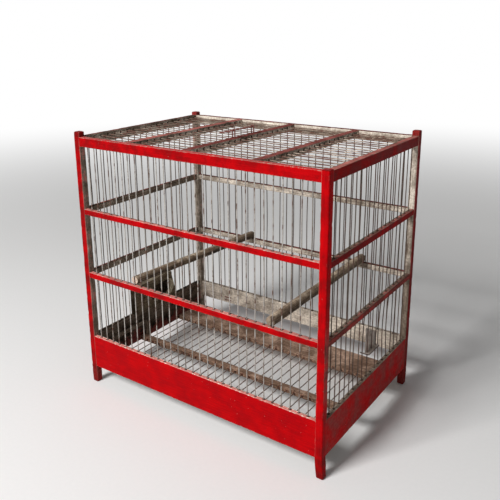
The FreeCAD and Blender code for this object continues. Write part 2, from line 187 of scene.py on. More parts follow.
class Shading:
    """The nodes of a material or of the world, joined from code."""

    def __init__(self, name, kind="materials"):
        self.owner = getattr(bpy.data, kind).new(name)
        self.owner.use_nodes = True
        self.tree = self.owner.node_tree
        self.shader = self.tree.nodes.get("Principled BSDF")

    def join(self, value, socket):
        """Links an output to an input, or writes a plain number, place or colour on it."""
        value = getattr(value, "socket", value)
        if isinstance(value, bpy.types.NodeSocket):
            self.tree.links.new(value, socket)
        else:
            socket.default_value = (*value, 1.0) if socket.type == "RGBA" else value

    def node(self, kind, inputs, **settings):
        """A new node with its settings and inputs."""
        node = self.tree.nodes.new("ShaderNode" + kind)
        for name, setting in settings.items():
            setattr(node, name, setting)
        for place, value in inputs.items():
            self.join(value, node.inputs[place])
        return node

    def math(self, operation, *values):
        node = self.node("Math", dict(enumerate(values)), operation=operation)
        return Value(self, node.outputs[0])

    def mixed(self, kind, factor, first, second):
        node = self.node("Mix", {"Factor": factor}, data_type="RGBA", blend_type=kind)
        self.join(first, node.inputs[6])
        self.join(second, node.inputs[7])
        return Color(self, node.outputs[2])

    def place(self, kind="Object"):
        """The surface's own coordinates: Object, or UV in metres along the grain."""
        return Value(self, self.node("TexCoord", {}).outputs[kind])

    def parts(self, value):
        """The three parts of a place."""
        return [Value(self, part) for part in self.node("SeparateXYZ", {0: value}).outputs]

    def stored(self, name, output="Fac"):
        """A value stored on the mesh."""
        return Value(self, self.node("Attribute", {}, attribute_name=name).outputs[output])

    def grain(self, stretch, detail, roughness, distortion=0.0, kind="Object"):
        """Noise, stretched by so many turns a metre along each axis."""
        stretch = stretch if isinstance(stretch, tuple) else (stretch,) * 3
        place = self.node("VectorMath", {0: self.place(kind), 1: stretch}, operation="MULTIPLY")
        look = {"Detail": detail, "Roughness": roughness, "Distortion": distortion}
        node = self.node("TexNoise", {"Scale": 1.0, "Vector": place.outputs[0], **look})
        return Value(self, node.outputs[0])

    def specks(self, density, size):
        """1 at scattered small specks, 0 elsewhere."""
        node = self.node("TexVoronoi", {"Scale": density, "Vector": self.place()})
        return Value(self, node.outputs["Distance"]).span(size, size / 2)

    def bump(self, height, distance, strength):
        """Raises the surface by up to a distance in metres."""
        node = self.node("Bump", {"Strength": strength, "Distance": distance, "Height": height})
        self.join(node.outputs[0], self.shader.inputs["Normal"])

    def finish(self, *looks):
        """The material with its colour, roughness, metallic and specular."""
        names = ("Base Color", "Roughness", "Metallic", "Specular IOR Level")
        for name, look in zip(names, looks):
            self.join(look, self.shader.inputs[name])
        return self.owner

    def seen(self):
        """1 for rays from the camera or reflected to it, 0 for light that falls on things."""
        path = self.node("LightPath", {}).outputs
        direct = self.math("MAXIMUM", path["Is Camera Ray"], path["Is Glossy Ray"])
        return self.math("MAXIMUM", direct, path["Is Transmission Ray"])


bare_dark = (0.026, 0.020, 0.015)
bare_grey = (0.225, 0.178, 0.140)
bare_pale = (0.74, 0.665, 0.575)
worn_dark = (0.19, 0.05, 0.042)
worn_pink = (0.74, 0.275, 0.235)
paint_red = (0.47, 0.0008, 0.0025)
paint_deep = (0.34, 0.0005, 0.003)
paint_dark = (0.16, 0.003, 0.003)
chip_pink = (0.62, 0.35, 0.32)
dirt_brown = (0.09, 0.01, 0.01)
# Near-black colour for the shade inside wire holes: painted shade.
hole_shade_black = (0.012, 0.008, 0.006)
dropping_dark = (0.05, 0.035, 0.025)
fresh_cut = (0.62, 0.50, 0.40)
untinted = (1.0, 1.0, 1.0)


def bare_color(grain, fine, fleck, tone):
    """Weathered wood: dark, grey or pale by its tone, streaked and mottled."""
    chalky = tone.span(0.5, 1.0)
    body = chalky.mix(tone.span(0.0, 0.5).mix(bare_dark, bare_grey), bare_pale)
    furrow = chalky.mix((0.62, 0.59, 0.56), (0.84, 0.82, 0.80))
    streak = grain.span(0.36, 0.62).mix(furrow, (1.16, 1.16, 1.15))
    hollow = chalky.mix((0.58, 0.54, 0.50), (0.82, 0.79, 0.76))
    pore = fine.span(0.34, 0.46).mix(hollow, untinted)
    mottle = fleck.span(0.36, 0.66).mix((0.80, 0.78, 0.76), (1.24, 1.24, 1.24))
    return body * streak * pore * mottle


def wood_material(name, tint=untinted, stain_color=(0.07, 0.03, 0.02)):
    """Painted or bare wood, by the paint, edge, tone and hole values on the mesh."""
    shade = Shading(name)
    grain = shade.grain((26.0, 560.0, 1.0), 5.0, 0.62, 0.25, "UV")
    fine = shade.grain((90.0, 2400.0, 1.0), 3.0, 0.6, 0.0, "UV")
    patch = shade.grain(34.0, 5.0, 0.62)
    flake = shade.grain(260.0, 4.0, 0.65)
    tone = shade.stored("tone") + patch.usual(-0.16, 0.16)
    bare = bare_color(grain, fine, flake, tone) * tint

    loss = shade.stored("edge") * flake.span(0.46, 0.66, 0.02, 0.56)
    drift = patch.usual(-0.09, 0.09) + flake.usual(-0.07, 0.07)
    left = shade.stored("paint") + drift - loss
    worn = tone.span(0.15, 0.9).mix(worn_dark, worn_pink)
    worn = worn * grain.span(0.35, 0.65).mix((0.62, 0.6, 0.6), (1.15, 1.15, 1.15))
    coat = patch.span(0.32, 0.68).mix(paint_deep, paint_red)
    coat = tone.span(0.0, 0.5).mix(paint_dark, coat)
    coat = left.span(0.92, 0.62, 0.0, 0.16).mix(coat, worn_pink)
    coat = coat * grain.usual().mix((0.84, 0.8, 0.8), (1.1, 1.1, 1.1))
    coat = (shade.specks(150.0, 0.07) * flake.span(0.5, 0.56)).mix(coat, chip_pink)
    coat = (shade.specks(95.0, 0.06) * 0.8).mix(coat, dirt_brown)
    full = left.span(0.60, 0.70)
    color = full.mix(left.span(0.26, 0.36).mix(bare, worn), coat)

    along, across, pitch = shade.parts(shade.stored("hole", "Vector"))
    from_wire = (along - shade.math("ROUND", along)) * pitch
    reach = (from_wire ** 2.0 + across ** 2.0) ** 0.5 + flake.usual(-0.9, 0.9)
    drilled = pitch.span(1.0, 2.0)
    stain = drilled * reach.span(2.9, 1.6) * 0.7
    # Near-black mouth of each hole: painted shade inside the drilled hole.
    shaded_mouth = drilled * reach.span(1.9, 1.4)
    # Pale ring round each hole: a painted highlight where the wire glints at its hole.
    glint_halo = reach.span(2.8, 3.6) * reach.span(5.4, 4.4) * drilled
    glint_halo = glint_halo * flake.span(0.46, 0.60, 0.0, 0.55)
    color = glint_halo.mix(color, color * (1.9, 1.85, 1.8))
    color = shaded_mouth.mix(stain.mix(color, stain_color), hole_shade_black)

    shade.bump(grain * 0.6 + full * 0.35 + flake * 0.25, 0.5 * MM, 0.7)
    gloss = patch.usual(-0.07, 0.07) + full.span(0.0, 1.0, 0.9, 0.52)
    return shade.finish(color, gloss, 0.0, 0.03)


def board_material(name, dark, light, along, across):
    """Plain worn wood, by the stretch of its grain and of its pores."""
    shade = Shading(name)
    grain = shade.grain(along, 5.0, 0.62, 0.3)
    patch = shade.grain(45.0, 5.0, 0.62)
    fine = shade.grain(across, 3.0, 0.6)
    streak = grain.span(0.36, 0.64).mix((0.5, 0.48, 0.45), (1.2, 1.18, 1.15))
    pore = fine.span(0.32, 0.46).mix((0.5, 0.46, 0.42), untinted)
    shade.bump(grain + fine * 0.4, 0.5 * MM, 0.7)
    color = patch.usual().mix(dark, light) * streak * pore
    return shade.finish(color, patch.usual(0.74, 0.92), 0.0, 0.2)


def wire_material(name, clean, aged, rust, rust_low, rust_high):
    """Old wire: dull metal with rust in patches."""
    shade = Shading(name)
    patch = shade.grain(70.0, 4.0, 0.65)
    fine = shade.grain(900.0, 3.0, 0.6)
    metal = (patch * 0.7 + shade.stored("tone") * 0.3).usual().mix(aged, clean)
    rusted = (patch + fine * 0.25).span(rust_low, rust_high)
    shade.bump(fine + rusted, 0.15 * MM, 0.6)
    return shade.finish(rusted.mix(metal, rust), rusted.span(0.0, 1.0, 0.42, 0.85),
                        rusted.span(0.0, 1.0, 0.55, 0.05), 0.4)


def tin_material():
    """Dull zinc-grey tin plate with stains and scratches, dark along its rims."""
    shade = Shading("tin_plate")
    spangle = shade.grain(120.0, 3.0, 0.5)
    stain = shade.grain((55.0, 90.0, 90.0), 5.0, 0.65)
    scratch = shade.grain((300.0, 1400.0, 120.0), 2.0, 0.5)
    color = spangle.span(0.35, 0.65).mix((0.33, 0.275, 0.235), (0.47, 0.40, 0.35))
    color = stain.span(0.52, 0.66).mix(color, (0.17, 0.12, 0.09))
    color = scratch.span(0.66, 0.74).mix(color, (0.62, 0.56, 0.51))
    x, y, _ = shade.parts(shade.place())
    rim = shade.math("MAXIMUM", x.span(gate_high.x - 1.6 * MM, gate_high.x - 0.5 * MM),
                     y.span(gate_low.y + 2.6 * MM, gate_low.y + 1.4 * MM))
    shade.bump(spangle + scratch, 0.2 * MM, 0.5)
    return shade.finish(rim.mix(color, (0.035, 0.016, 0.012)), stain.usual(0.42, 0.72), 0.3, 0.4)


def perch_material():
    """Grey-brown stick, streaked, with dark droppings, and paler on top as painted light from above.
    """
    shade = Shading("perch_wood")
    grain = shade.grain((14.0, 520.0, 1.0), 5.0, 0.6, 0.35, "UV")
    fine = shade.grain((80.0, 1900.0, 1.0), 3.0, 0.6, 0.0, "UV")
    patch = shade.grain(40.0, 5.0, 0.65)
    flake = shade.grain(260.0, 4.0, 0.65)
    # The upper value lightens the top of the stick: painted light.
    tone = shade.stored("upper") * 0.40 + patch.usual(0.10, 0.46)
    color = bare_color(grain, fine, flake, tone) * (0.96, 0.88, 0.78)
    color = shade.stored("cut").mix(color, fresh_cut)
    spot = shade.specks(120.0, 0.11) * 0.75
    shade.bump(grain + patch * 0.6, 0.7 * MM, 0.8)
    return shade.finish(spot.mix(color, dropping_dark), patch.usual(0.7, 0.9), 0.0, 0.2)


floor_radius = 14.0
floor_fade = (0.75, 3.2)
floor_color = (0.90, 0.895, 0.885)
floor_mottle = 0.985


def floor_material():
    """Plain pale floor that fades into the white background far from the cage."""
    shade = Shading("floor_plain")
    fine = shade.grain((180.0, 180.0, 1.0), 4.0, 0.6)
    color = fine.usual().mix(tuple(part * floor_mottle for part in floor_color), floor_color)
    shade.bump(fine, 0.2 * MM, 0.25)
    shade.finish(color, 0.9, 0.0, 0.1)
    away = shade.node("VectorMath", {0: shade.place()}, operation="LENGTH").outputs["Value"]
    far = Value(shade, away).span(*floor_fade)
    glow = shade.node("Emission", {"Color": untinted})
    sources = {0: far * shade.seen(), 1: shade.shader.outputs[0], 2: glow.outputs[0]}
    mixed = shade.node("MixShader", sources)
    shade.join(mixed.outputs[0], shade.tree.nodes["Material Output"].inputs["Surface"])
    return shade.owner


red_wood = wood_material("red_wood")
bare_wood = wood_material("bare_wood")
dark_wood = wood_material("dark_wood", (1.0, 1.0, 0.88))
floor_wood = wood_material("floor_wood", (1.08, 0.86, 0.78), (0.15, 0.022, 0.015))
feeder_wood = board_material("feeder_wood", (0.10, 0.07, 0.05), (0.25, 0.19, 0.145),
                             (420.0, 18.0, 420.0), (110.0, 1500.0, 1500.0))
cheek_wood = board_material("cheek_wood", (0.09, 0.065, 0.05), (0.24, 0.19, 0.15),
                            (18.0, 420.0, 420.0), (1500.0, 110.0, 1500.0))
perch_wood = perch_material()
# The front wall's wire is the lit copy; the other walls' wires use a darker copy as painted shade.
front_wire, shaded_wire, roof_wire, floor_wire, rusty_wire = [wire_material(*row) for row in (
    ("wire_steel", (0.56, 0.53, 0.49), (0.24, 0.215, 0.19), (0.10, 0.045, 0.028), 0.60, 0.76),
    ("shaded_wire_steel", (0.13, 0.10, 0.08), (0.045, 0.03, 0.022), (0.07, 0.03, 0.02), 0.54, 0.72),
    ("roof_wire_steel", (0.27, 0.215, 0.17), (0.13, 0.09, 0.065), (0.12, 0.045, 0.03), 0.56, 0.72),
    ("floor_wire_steel", (0.27, 0.24, 0.21), (0.12, 0.095, 0.075), (0.12, 0.045, 0.025), 0.54, 0.70),
    ("rusty_wire", (0.13, 0.042, 0.036), (0.06, 0.02, 0.017), (0.15, 0.045, 0.035), 0.42, 0.62))]
tin_plate = tin_material()


# Meshes

def add_piece(name, mesh, material, body, nodes=()):
    """Puts a finished mesh in the scene, on its body, in place of CAD nodes."""
    mesh.materials.append(material)
    piece = add_object(name, mesh)
    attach(piece, body)
    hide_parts(*nodes)


def flat(rows):
    """The numbers of all rows in one list."""
    return [number for row in rows for number in row]


def make_mesh(name, points, faces, turns=None, sharp_angle=0.7, **values):
    """A smooth mesh with sharp creases, UVs and stored values."""
    mesh = bpy.data.meshes.new(name)
    mesh.from_pydata(points, [], faces)
    mesh.polygons.foreach_set("use_smooth", [True] * len(faces))
    mesh.set_sharp_from_angle(angle=sharp_angle)
    if turns:
        mesh.uv_layers.new(name="UVMap").data.foreach_set("uv", flat(turns))
    for kind, numbers in values.items():
        mesh.attributes.new(kind, "FLOAT", "POINT").data.foreach_set("value", numbers)
    return mesh


def ring_faces(rings, around):
    """The faces between rings of points, and a cap at each end."""
    last = (rings - 1) * around
    faces = []
    for first in range(0, last, around):
        for n in range(around):
            after = (n + 1) % around
            faces.append((first + n, first + after, first + around + after, first + around + n))
    return faces + [tuple(range(around))[::-1], tuple(range(last, last + around))]


def ring_turns(lengths, rounds):
    """The UVs of the faces between rings: along the piece and round it."""
    return [turn for low, high in zip(lengths, lengths[1:])
            for near, far in zip(rounds, rounds[1:])
            for turn in ((low, near), (low, far), (high, far), (high, near))]


arc_steps = 3
edge_band = 1.5 * MM
wood_wave = 0.12 * MM
wave_turns = 60
chip_turns = 190
chip_threshold = 0.12
station_step = 5.0 * MM
seed_range = 40
no_hole = (1 / 2, 30.0, 0.0)


def section(half_out, half_up, ease):
    """One section of a beam as rows of: out, up, side, turn to the next side, edge."""
    rows = []
    for side in range(4):
        normal = 1j ** side
        half, level = (half_out, half_up) if side % 2 else (half_up, half_out)
        reach = half - ease
        for along in (-reach + edge_band, 0.0, reach - edge_band):
            rows.append((normal * complex(level, along), side, 0.0, 0.0))
        center = normal * complex(level - ease, reach)
        for step in range(arc_steps + 1):
            angle = side * math.pi / 2 + math.pi / 2 * step / arc_steps
            rows.append((center + cmath.rect(ease, angle), side, step / arc_steps, 1.0))
    return [(spot.real, spot.imag, *rest) for spot, *rest in rows]


def between(values, side, turn):
    """A value that changes from one side of a beam to the next round the corner."""
    return values[side] * (1 - turn) + values[(side + 1) % 4] * turn


def beam(name, start, end, half_out, half_up, out, paint, tone, ease=0.7 * MM, wear=0.5 * MM,
         rubbed=1.0, scale_at=None, look_at=None, holes=None, extra=()):
    """A worn wooden bar from start to end. Its four sides are outer, top, inner and bottom."""
    run = end - start
    along = run.normalized()
    up = along.cross(out) if along.cross(out).z > 0 or abs(along.z) > 1 / 2 else out.cross(along)
    count = max(2, math.ceil(run.length / station_step))
    stations = sorted([run.length * n / count for n in range(count + 1)] + list(extra))
    seed = random.Random(name).random() * seed_range
    rows = section(half_out, half_up, ease)
    knots = []
    for reach in stations:
        grow = scale_at(reach) if scale_at else 1.0
        center = start + along * reach
        for out_part, up_part, side, turn, edge in rows:
            spot = center + out * (out_part * grow) + up * (up_part * grow)
            swell = noise.noise(spot * wave_turns + Vector((seed, 0, 0))) * wood_wave
            chip = noise.noise(spot * chip_turns + Vector((0, seed, 0))) - chip_threshold
            pull = swell - max(0.0, chip) * edge * wear * 2
            shares = (out_part / half_out, up_part / half_up)
            direction = Vector(shares).normalized()
            spot = spot + (out * direction.x + up * direction.y) * pull
            look = (between(paint, side, turn), between(tone, side, turn))
            if look_at:
                look = look_at(reach, side + turn, shares, *look)
            hole = hole_mark(holes, spot, out_part, up_part, side)
            knots.append((spot, *look, edge * rubbed, hole))
    points, paints, tones, edges, marks = zip(*knots)
    around = len(rows)
    faces = ring_faces(len(stations), around)
    widths = [math.hypot(there[0] - here[0], there[1] - here[1])
              for here, there in zip(rows, rows[1:] + rows[:1])]
    turns = ring_turns([reach + seed for reach in stations], [0.0, *accumulate(widths)])
    turns += [(rows[n % around][0] + seed, rows[n % around][1]) for n in flat(faces[-2:])]
    mesh = make_mesh(name, points, faces, turns, paint=paints, edge=edges, tone=tones)
    layer = mesh.attributes.new("hole", "FLOAT_VECTOR", "POINT")
    layer.data.foreach_set("vector", flat(marks))
    return mesh


def hole_mark(holes, spot, out_part, up_part, side):
    """Where a point lies from the first wire hole: in pitches, in mm, and the pitch in mm.

    Holes are given as their axis, their places and each side's offset from its middle.
    """
    if not holes or side not in holes[2]:
        return no_hole
    axis, places, offsets = holes
    pitch = places[1] - places[0]
    across = (out_part if side % 2 else up_part) - offsets[side]
    return (spot[axis] - places[0]) / pitch, across / MM, pitch / MM


def add_bar(node, material, slot_name, *shape, change=None, **more):
    """A wooden bar of the cage, in place of its CAD node."""
    mesh = beam(node + "_wood", *shape, **more)
    if change:
        change(mesh)
    add_piece(node + "_wood", mesh, material, "cage", [node])


def straight_run(node, axis, ends=None):
    """Where a bar along one axis of the cage starts and ends, and its half sizes."""
    low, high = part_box(node)
    start = (low + high) / 2
    end = start.copy()
    start[axis], end[axis] = ends or (low[axis], high[axis])
    out = 0 if axis else 1
    up = 3 - axis - out
    return start, end, (high[out] - low[out]) / 2, (high[up] - low[up]) / 2


# Posts, rails and boards. A look is the paint and the tone of the four sides

rail_levels = ("_top_rail", "_upper_rail", "_lower_rail", "_base_board")
side_looks = {
    "front": ((1.0, 0.44, 0.0, 0.3), (0.40, 0.66, 0.45, 0.3)),
    # The back wall's pale inner tone stands in for sunlight on it: painted light.
    "back": ((1.0, 0.46, 0.0, 0.2), (0.6, 0.22, 0.72, 0.45)),
    "left": ((1.0, 0.30, 0.10, 0.2), (0.6, 0.3, 0.56, 0.3)),
    # The right end's low outer tone darkens its paint as painted shade.
    "right": ((1.0, 0.32, 0.0, 0.2), (0.12, 0.52, 0.5, 0.3)),
}
rail_looks = {
    "front_top_rail": ((1.0, 0.72, 0.0, 0.3), (0.38, 0.60, 0.45, 0.3)),
    "front_base_board": ((1.0, 0.44, 0.0, 0.3), (0.8, 0.86, 0.45, 0.3)),
    "back_top_rail": ((1.0, 0.58, 0.0, 0.2), (0.6, 0.10, 0.60, 0.45)),
    # Pale inner tone: painted sunlight on the back wall.
    "back_lower_rail": ((1.0, 0.46, 0.0, 0.2), (0.6, 0.22, 0.76, 0.45)),
    "left_top_rail": ((1.0, 0.34, 0.0, 0.2), (0.6, 0.2, 0.62, 0.3)),
    # The right rails' and the right board's low outer tones darken their paint as painted shade.
    "right_top_rail": ((1.0, 0.46, 0.0, 0.2), (0.08, 0.5, 0.5, 0.3)),
    "right_lower_rail": ((0.64, 0.25, 0.0, 0.2), (0.10, 0.5, 0.5, 0.3)),
    "left_base_board": ((1.0, 0.0, 0.0, 0.2), (0.6, 0.2, 0.40, 0.1)),
    "right_base_board": ((0.79, 0.0, 0.0, 0.2), (0.32, 0.52, 0.5, 0.3)),
    # Pale inner tone: painted sunlight on the slot rail.
    "back_slot_rail": ((1.0, 0.0, 0.0, 0.2), (0.6, 0.7, 0.84, 0.45)),
}
top_lap = 0.16
edge_rub = 0.30
# How much paler the back top rail's inner face is at the top: painted sunlight.
painted_sunlight_lift = 0.42
old_paint = 0.42


def held(value, low=0.0, high=1.0):
    """A value kept between two limits."""
    return max(low, min(value, high))


def lapped_top(reach, side, spot, paint, tone):
    """Paint laps from a rail's outer face over its top, and is rubbed thin on the edge."""
    if 0 < side < 1:
        rub = 1 - abs(side * 2 - 1)
        return paint - edge_rub * rub, tone + edge_rub * rub
    return paint + top_lap * spot[0] if 1 / 2 < side < 3 / 2 else paint, tone


def painted_sunlit_upper_half(reach, side, spot, paint, tone):
    """The back top rail's inner face is pale above as painted sunlight, and brown below."""
    if 3 / 2 < side < 5 / 2:
        return paint, tone + painted_sunlight_lift * max(0.0, spot[1])
    return lapped_top(reach, side, spot, paint, tone)


def shaded_lower_half(reach, side, spot, paint, tone):
    """The left base board's inner face darkens to near black below as painted shade, with old red
    paint low down.
    """
    if not 3 / 2 < side < 5 / 2:
        return paint, tone
    low = held(1 / 2 - spot[1] * 2)
    # The tone falls towards the bottom as painted shade, and old red paint is added there.
    return paint + old_paint * low, tone * (1 - low)


face_looks = {"back_top_rail": painted_sunlit_upper_half, "left_base_board": shaded_lower_half}


def make_rails():
    """Every rail and base board between the posts, with the wire holes that it shows."""
    names = [side + level for side in outward for level in rail_levels]
    for name in [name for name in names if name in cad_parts] + ["back_slot_rail"]:
        side = name.split("_")[0]
        axis = wall_axis[side]
        run = straight_run(name, axis, wall_ends[axis])
        offset = (wire_lines[side] - run[0][1 - axis]) * outward[side][1 - axis]
        topmost = name.endswith("_top_rail")
        offsets = {3: offset} if topmost else {1: offset, 3: offset}
        holes = (axis, wire_places[axis], offsets)
        if topmost and side in ("left", "right"):
            holes = (1, roof_wire_places, {2: roof_wire_height - run[0].z})
        add_bar(name, red_wood, "red_wood", *run, outward[side],
                *rail_looks.get(name, side_looks[side]),
                look_at=face_looks.get(name, lapped_top), holes=holes)


foot_height = 18.0 * MM
foot_scale = 0.93
sole_height = 1.4 * MM
sole_scale = 0.84
foot_marks = (sole_height / 3, sole_height)
foot_lean = 2.4 * MM
foot_paints = (0.80, 0.92)
# Darkening of the feet below the boards, on bare and on painted sides: painted shade from the cage.
foot_painted_shades = (0.15, 0.3)
cap_height = 0.9 * MM
cap_scale = 0.84
cap_paints = (0.79, 0.92)
cap_dimming = 0.25
post_growth_share = 0.19
post_ease = 1.6 * MM
post_wear = 0.6 * MM
post_rubbing = 0.42
inward_shifts = {"front": 0.4 * MM, "back": 0.0}
rubbed_top = 250.0 * MM
rubbed_fade = 40.0 * MM
rubbed_paint = 0.31
stained_paint = 0.24
chalky_steps = (0.0, 0.18, 0.40)
middle_rails = [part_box(name) for name in ("front_lower_rail", "front_upper_rail")]


def post_scale(reach, top):
    """The width of a post at a height, as a share of its side."""
    width = 1.0
    if reach < foot_height:
        width = foot_scale + (1 - foot_scale) * reach / foot_height
    if reach < sole_height:
        width *= sole_scale + (1 - sole_scale) * math.sqrt(reach / sole_height)
    if reach > top - cap_height:
        width = 1 - (1 - cap_scale) * (reach - top + cap_height) / cap_height
    return width


def lean_foot(mesh):
    """The front right foot leans out to the right below the boards."""
    for vertex in mesh.vertices:
        vertex.co.x += foot_lean * max(0.0, 1 - vertex.co.z / board_bottom)


def post_look(reach, side, spot, paint, tone):
    """Paint covers a post's bare sides above the rails and round the foot, which is darkened as
    painted shade.
    """
    if reach > top_rail_top:
        return held(paint, *cap_paints), tone * cap_dimming
    if reach < board_bottom:
        return held(paint, *foot_paints), tone * foot_painted_shades[paint > 1 / 2]
    return paint, tone


def worn_post(reach, side, spot, paint, tone):
    """The front right post's outer side is rubbed down to old paint below the middle."""
    rubbed = held((rubbed_top - reach) / rubbed_fade) * held((reach - board_top) / rubbed_fade)
    if side < 1 / 2 or side > 7 / 2:
        paint -= rubbed_paint * rubbed
    return post_look(reach, side, spot, paint, tone)


def chalky_post(reach, side, spot, paint, tone):
    """The back right post is paler from rail to rail upwards."""
    steps_up = sum(reach > high.z for _, high in middle_rails)
    chalk = chalky_steps[steps_up] if paint < 1 and reach < top_rail_top else 0.0
    return post_look(reach, side, spot, paint, tone + chalk)


def stained_post(reach, side, spot, paint, tone):
    """The left posts' bare sides hold some old red paint."""
    return post_look(reach, side, spot, max(paint, stained_paint), tone)


# Each post's look, outer, end-on and inner tone, and how far it ends under its solid's top
posts = {"post_front_left": (stained_post, 0.5, 0.28, 0.56, 0.0),
         "post_front_right": (worn_post, 0.36, 0.40, 0.5, 6.6 * MM),
         "post_back_left": (stained_post, 0.5, 0.5, 0.70, 2.4 * MM),
         # The back right post's outer tone of 0.0 darkens its right side as painted shade.
         "post_back_right": (chalky_post, 0.0, 0.5, 0.48, 0.0)}


def make_posts():
    """Four square posts with whittled feet and worn tops."""
    half = post_side * (1 + post_growth_share) / 2
    for name, (look, outer, across, inner, shortfall) in posts.items():
        _, depth_side, end_side = name.split("_")
        low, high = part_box(name)
        out = outward[end_side]
        middle = (low + high) / 2
        middle -= (outward[depth_side] + out) * inward_shifts[depth_side]
        start = Vector((middle.x, middle.y, low.z))
        end = Vector((middle.x, middle.y, high.z - shortfall))
        paint, tone = [1.0, 1.0, 0.0, 0.0], [outer, across, inner, inner]
        if ALONG_Z.cross(out).dot(outward[depth_side]) < 0:
            paint, tone = [1.0, 0.0, 0.0, 1.0], [outer, inner, inner, across]
        add_bar(name, red_wood, "red_wood", start, end, half, half, out, paint, tone,
                post_ease, post_wear, post_rubbing, look_at=look,
                scale_at=lambda reach, top=end.z: post_scale(reach, top),
                extra=[*foot_marks, top_rail_top, top_rail_top + MM / 2, end.z - cap_height],
                change=lean_foot if name == "post_front_right" else None)


make_camera()
make_rails()
make_posts()


# Roof bars, floor and tray guides

bar_ease = 0.8 * MM
bar_rubbing = 0.3
bar_top_paint = 0.42
bar_top_tones = {"roof_bar_left": 0.50, "roof_bar_center": 0.20, "roof_bar_right": 0.34}
floor_bar_tones = {"floor_rail": 0.56, "floor_plank": 0.63}
# How much darker the floor rail's and the plank's front faces are: painted shade.
painted_front_shade = 0.22
guide_tone = 0.42
unpainted = (0.0,) * 4


def slanted(node):
    """The middle line of a bar that runs askew from front to back, and its half sizes."""
    low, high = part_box(node)
    front_low, front_high = width_at(node, low.y, MM)
    back_low, back_high = width_at(node, high.y, MM)
    height = (low.z + high.z) / 2
    start = Vector(((front_low + front_high) / 2, low.y - hidden_end, height))
    end = Vector(((back_low + back_high) / 2, high.y + hidden_end, height))
    return start, end, (front_high - front_low) / 2, (high.z - low.z) / 2


def painted_top(reach, side, spot, paint, tone):
    """A roof bar's top holds thin old paint from edge to edge. Its sides are bare."""
    return (bar_top_paint if 0 < side < 2 else paint), tone


def make_roof_bars():
    """Three bars across the roof, drilled on their sides for the wires."""
    for name, top_tone in bar_top_tones.items():
        run = slanted(name)
        offset = roof_wire_height - run[0].z
        add_bar(name, bare_wood, "bare_wood", *run, ALONG_X, (0.0, bar_top_paint, 0.0, 0.0),
                (0.66, top_tone, 0.5, 0.3), bar_ease, rubbed=bar_rubbing, look_at=painted_top,
                holes=(1, roof_wire_places, {0: offset, 2: offset}))


def make_plain_bars():
    """The floor rail, the plank and the battens inside the base boards."""
    for name, tone in floor_bar_tones.items():
        run = straight_run(name, 0)
        across = floor_wire_height - run[0].z
        offsets = {0: across, 1: run[2] + wire_radius, 2: across}
        # The front side's tone is lowered by the painted front shade.
        add_bar(name, floor_wood, "bare_wood", *run, -ALONG_Y, unpainted,
                (tone - painted_front_shade, tone, tone, tone), bar_ease,
                holes=(0, front_wire_places, offsets))
    for side in ("left", "right"):
        for kind, axis in (("_tray_guide", 1), ("_floor_cleat", 2)):
            add_bar(side + kind, bare_wood, "bare_wood", *straight_run(side + kind, axis),
                    -outward[side], unpainted, (guide_tone,) * 4)


make_roof_bars()
make_plain_bars()


# Wires

tube_sides = 8
wire_step = 12.0 * MM
wire_bite = 1.0 * MM
second_bow = 0.2
wall_sway = 0.7 * MM
wall_lift = 0.25 * MM
level_sway = 1.1 * MM
level_lift = 0.7 * MM
right_lean_shares = {6: -0.27, 7: -0.10, 8: -0.19, 12: -0.45, 13: -0.34, 14: -0.40}
panel_low, panel_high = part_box("feeder_panel")
panel_points = node_points("feeder_panel")
panel_top_back = max(point.y for point in panel_points if point.z > panel_high.z - MM)


def tube(path, radius):
    """Points and faces of a round wire along a path."""
    points = []
    across = (path[1] - path[0]).normalized().orthogonal().normalized()
    for n, spot in enumerate(path):
        ahead = (path[min(n + 1, len(path) - 1)] - path[max(n - 1, 0)]).normalized()
        across = (across - ahead * across.dot(ahead)).normalized()
        over = ahead.cross(across)
        for cosine, sine in circle(tube_sides):
            points.append(spot + (across * cosine + over * sine) * radius)
    return points, ring_faces(len(path), tube_sides)


def bowed(marks, sway, lift, rng, lean=Vector()):
    """A path held at its marks, that bows a little to the side and over between them."""
    path = []
    for low, high in zip(marks, marks[1:]):
        bent = lean if low is marks[0] else Vector()
        count = max(2, math.ceil((high - low).length / wire_step))
        side_bow, side_turn = rng.uniform(-1, 1), rng.uniform(-second_bow, second_bow)
        over_bow = rng.uniform(-1, 1)
        for n in range(count):
            share = n / count
            swing = math.sin(math.pi * share) * side_bow
            swing += math.sin(2 * math.pi * share) * side_turn
            path.append(low.lerp(high, share) + sway * swing
                        + (lift * over_bow + bent) * math.sin(math.pi * share))
    return path + [marks[-1]]


def add_wires(name, paths, radius, rng, material, nodes=(), body="cage"):
    """One piece of several wires, each with its own tone."""
    points, faces, tones = [], [], []
    for path in paths:
        more, sides = tube(path, radius)
        first = len(points)
        points += more
        faces += [tuple(first + n for n in side) for side in sides]
        tones += [rng.random()] * len(more)
    mesh = make_mesh(name, points, faces, tone=tones)
    add_piece(name, mesh, material, body, nodes)


def add_wire_bars(where, paths, rng, material):
    """The straight wires of a wall, the roof or the floor."""
    add_wires(where + "_wire_bars", paths, wire_radius, rng, material, [where + "_wires"])


def panel_edge(place):
    """The height of the feeder panel's top, or of its slanted far edge, at a wire."""
    slope = (panel_high.z - panel_low.z) / (panel_high.y - panel_top_back)
    return min(panel_high.z, panel_low.z + (panel_high.y - place) * slope)


